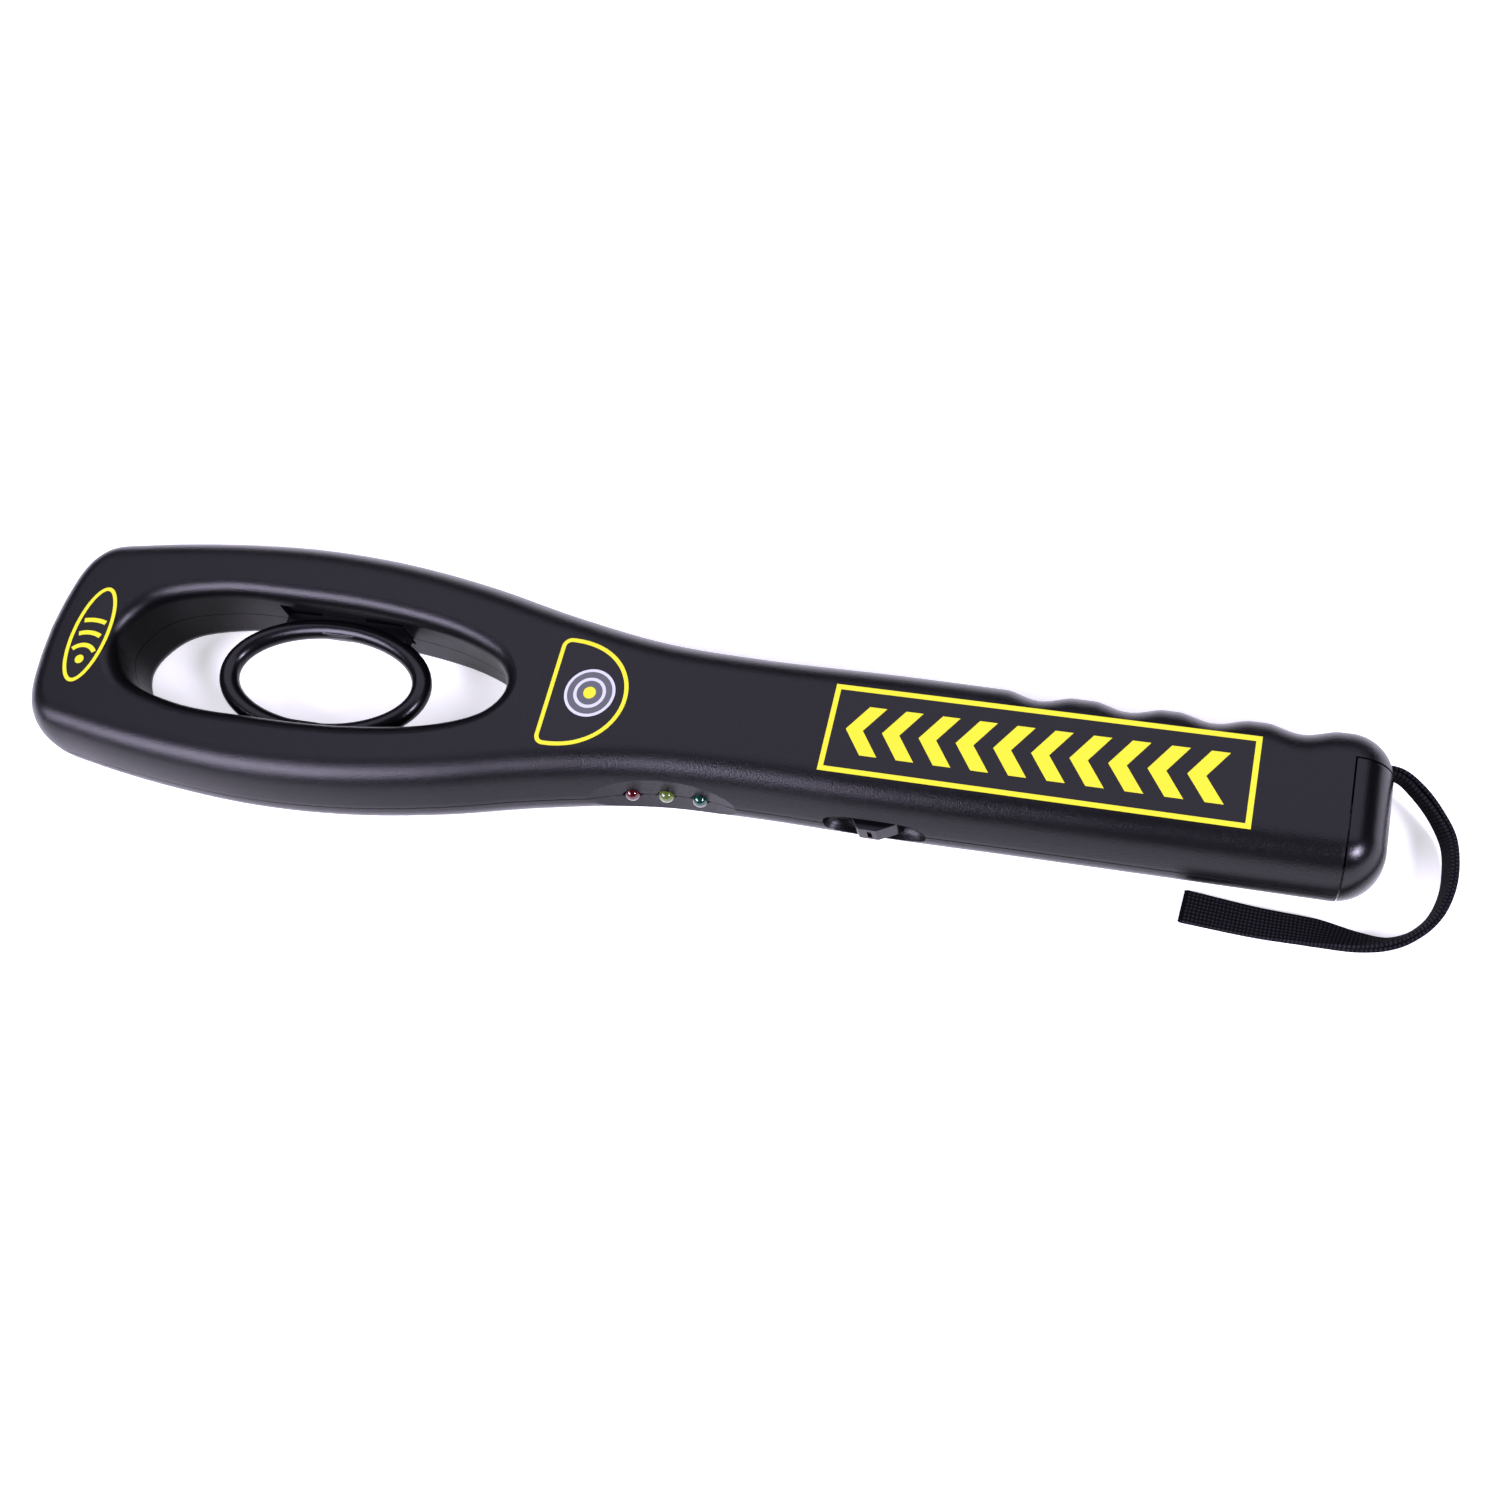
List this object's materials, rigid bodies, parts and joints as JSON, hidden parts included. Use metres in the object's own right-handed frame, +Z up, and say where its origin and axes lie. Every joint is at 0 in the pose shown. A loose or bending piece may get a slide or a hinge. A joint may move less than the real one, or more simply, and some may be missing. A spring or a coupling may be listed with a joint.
{
  "type": "hand-held metal detector",
  "caption": "Flat black hand wand for body search: looped head with an oval ring, three lamps, slide switch, grip handle and wrist strap",
  "frame": {"origin": "centre of the underside of the rigid wand, on the table, the wrist strap left out", "axes": "+X along the wand to the butt of the handle, +Y to the side with the finger grips, +Z up to the labelled face"},
  "size_m": [0.4302, 0.0844, 0.03],
  "materials": {
    "black_plastic": "satin, fine spark-eroded grain",
    "door_plastic": "smoother satin",
    "ring_plastic": "smooth satin",
    "label": "printed film with a yellow line",
    "red_lens": "tinted clear resin",
    "amber_lens": "tinted clear resin",
    "green_lens": "tinted clear resin",
    "webbing": "woven nylon",
    "steel": "zinc plated",
    "copper_wire": "enamelled copper",
    "board_green": "solder mask",
    "chip_black": "moulded epoxy",
    "can_blue": "shrink sleeve",
    "trimmer_blue": "moulded",
    "rotor_white": "moulded",
    "cell_copper": "printed can",
    "lead_red": "insulation",
    "lead_black": "insulation"
  },
  "bodies": {
    "wand": {"amplifier_chip": "chip_black", "battery": "cell_copper", "battery_lead_black": "lead_black", "battery_lead_red": "lead_red", "battery_snap": "chip_black", "board_screw_1": "steel", "board_screw_2": "steel", "bottom_shell": "black_plastic", "case_screw_1": "steel", "case_screw_2": "steel", "case_screw_3": "steel", "case_screw_4": "steel", "case_screw_5": "steel", "case_screw_6": "steel", "circuit_board": "board_green", "coil_capacitor": "can_blue", "handle_label": "label", "inner_coil": "copper_wire", "inner_coil_lead": "copper_wire", "lamp_alarm_red": "red_lens", "lamp_battery_amber": "amber_lens", "lamp_power_green": "green_lens", "microcontroller_chip": "chip_black", "neck_label": "label", "nose_label": "label", "ring_cover_bottom": "ring_plastic", "ring_cover_top": "ring_plastic", "search_coil": "copper_wire", "search_coil_lead": "copper_wire", "slide_switch_body": "steel", "speaker": "chip_black", "speaker_lead_black": "lead_black", "speaker_lead_red": "lead_red", "strap_anchor_pin": "steel", "supply_capacitor": "can_blue", "top_shell": "black_plastic", "trimmer_body": "trimmer_blue", "vibration_motor": "steel", "voltage_regulator": "chip_black", "wrist_strap": "webbing"},
    "power_switch": {"power_switch_knob": "black_plastic"},
    "vibrator_weight": {"vibration_weight": "steel"},
    "trimmer_adjuster": {"trimmer_rotor": "rotor_white"},
    "door": {"battery_door": "door_plastic"}
  },
  "joints": [
    {"name": "power_switch_slide", "type": "slide", "parent": "wand", "child": "power_switch", "axis": [1, 0, 0], "range_m": [-0.004, 0.004]},
    {"name": "battery_door_slide", "type": "slide", "parent": "wand", "child": "door", "axis": [0, -1, 0], "range_m": [0, 0.006]},
    {"name": "vibration_weight_spin", "type": "hinge", "parent": "wand", "child": "vibrator_weight", "pos_m": [0.1168, 0.008, 0.013], "axis": [1, 0, 0], "continuous": true},
    {"name": "sensitivity_trimmer_turn", "type": "hinge", "parent": "wand", "child": "trimmer_adjuster", "pos_m": [0.098, -0.002, 0.0044], "axis": [0, 0, 1], "range_deg": [-135, 135]}
  ]
}
